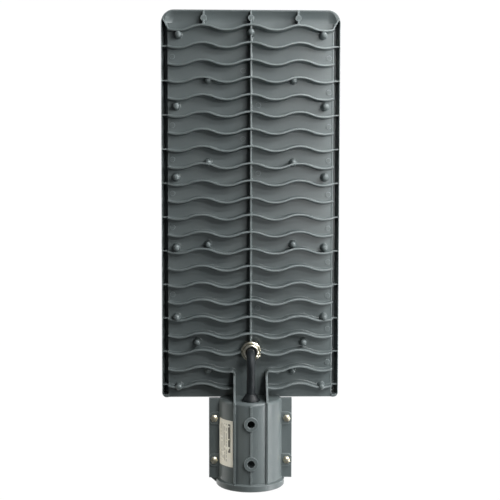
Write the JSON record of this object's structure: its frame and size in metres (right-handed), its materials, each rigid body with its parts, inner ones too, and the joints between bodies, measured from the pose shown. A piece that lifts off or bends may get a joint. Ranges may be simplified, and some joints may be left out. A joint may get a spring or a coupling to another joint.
{
  "type": "street light head",
  "caption": "Flat LED street light head: die-cast finned back with wavy cooling fins, glass front, and a clamped round socket at one end for a 60 mm pole spigot",
  "frame": {"origin": "on the axis of the round pole socket, at its open mouth", "axes": "+Y runs from the socket's mouth along the head to its far end, +Z points out of the finned back, -Z out of the glass light side, X across the head"},
  "size_m": [0.192, 0.5108, 0.075],
  "materials": {
    "casting": "grey powder coat, satin, fine grain",
    "nickel_brass": "nickel plated, bright",
    "plated_steel": "zinc plated, slightly yellow",
    "black_rubber": "matt",
    "silicone": "matt",
    "cable_sheath": "satin",
    "core_sheath": "satin",
    "label_film": "satin film",
    "tempered_glass": "clear, polished",
    "board": "white solder mask",
    "chips": "matt",
    "lens": "clear, polished",
    "sheet_metal": "zinc coated",
    "white_sheet": "white, matt",
    "driver_body": "brushed",
    "black_plastic": "matt",
    "white_plastic": "satin",
    "lead_sheath": "satin"
  },
  "bodies": {
    "root": {"housing": "casting", "socket_clamp": "casting", "front_frame": "casting", "clamp_bolts": "plated_steel", "clamp_washers": "plated_steel", "clamp_spring_washers": "plated_steel", "clamp_nuts": "plated_steel", "gland_o_ring": "black_rubber", "gland_body": "nickel_brass", "gland_cap_nut": "nickel_brass", "gland_seal_insert": "black_rubber", "gland_locknut": "nickel_brass", "supply_cable": "cable_sheath", "cable_cores": "core_sheath", "cable_grommet": "black_rubber", "rating_label": "label_film", "cover_gasket": "silicone", "glass_seal": "silicone", "cover_glass": "tempered_glass", "cover_screws": "plated_steel", "thermal_pad": "silicone", "led_board": "board", "led_chips": "chips", "lens_array": "lens", "board_screws": "plated_steel", "driver_tray": "sheet_metal", "driver_case": "driver_body", "driver_cover": "black_plastic", "driver_screws": "plated_steel", "terminal_block": "white_plastic", "driver_leads": "lead_sheath", "gear_cover": "white_sheet", "earth_lug": "nickel_brass", "earth_screw": "plated_steel"}
  },
  "joints": []
}
